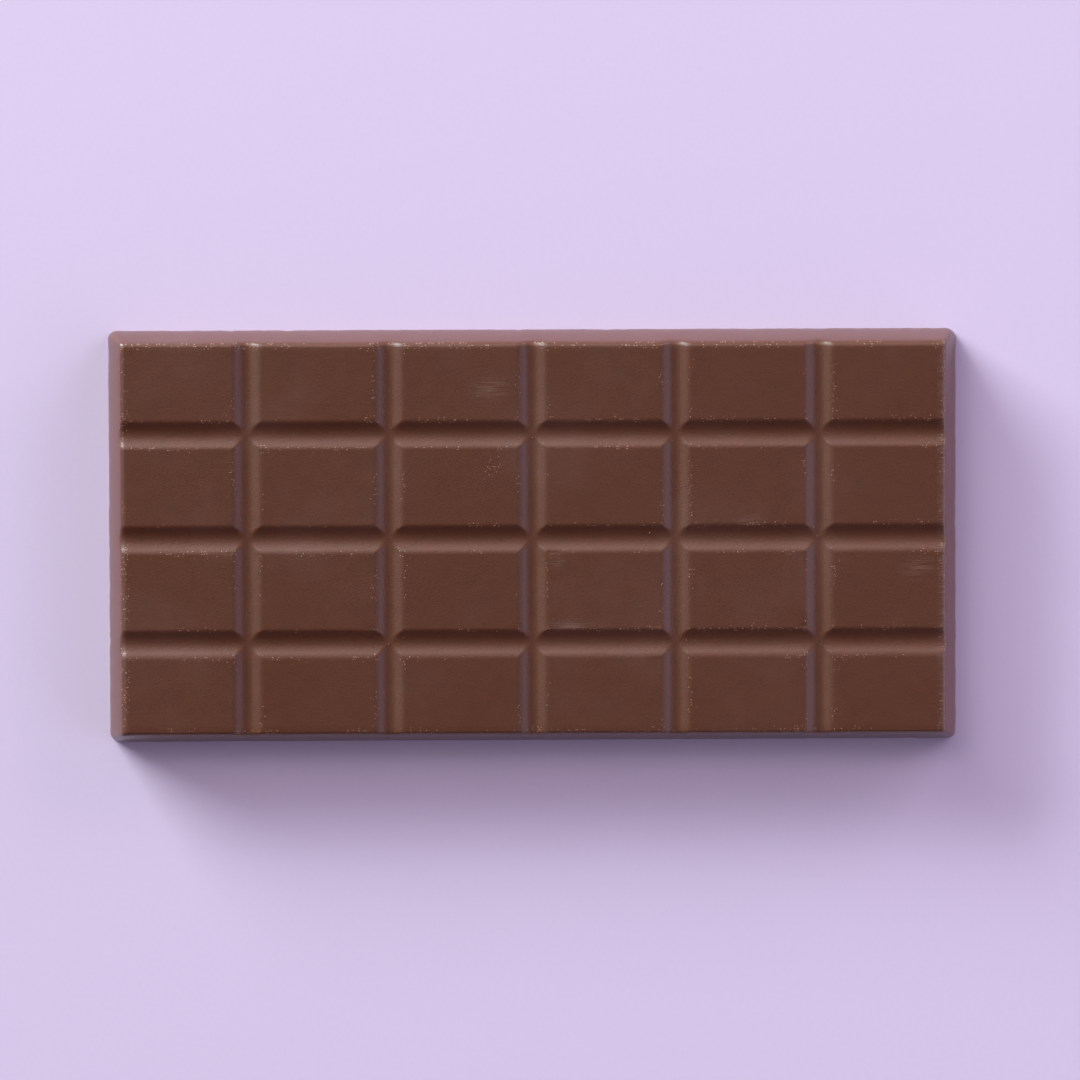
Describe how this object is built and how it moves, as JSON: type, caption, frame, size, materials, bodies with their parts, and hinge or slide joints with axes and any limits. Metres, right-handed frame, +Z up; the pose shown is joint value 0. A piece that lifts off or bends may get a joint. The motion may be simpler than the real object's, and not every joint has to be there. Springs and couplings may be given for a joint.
{
  "type": "chocolate bar",
  "caption": "Flat rectangular bar of milk chocolate with sloping sides, its top parted by straight grooves into rectangular segments.",
  "frame": {"origin": "middle of the flat back, at the height that the bar rests on", "axes": "+X along the bar, +Y across it, +Z up from the flat back to the grooved top"},
  "size_m": [0.155, 0.0754, 0.0078],
  "materials": {
    "milk_chocolate": "moulded milk chocolate with a satin sheen"
  },
  "bodies": {
    "root": {"chocolate_bar": "milk_chocolate"}
  },
  "joints": []
}
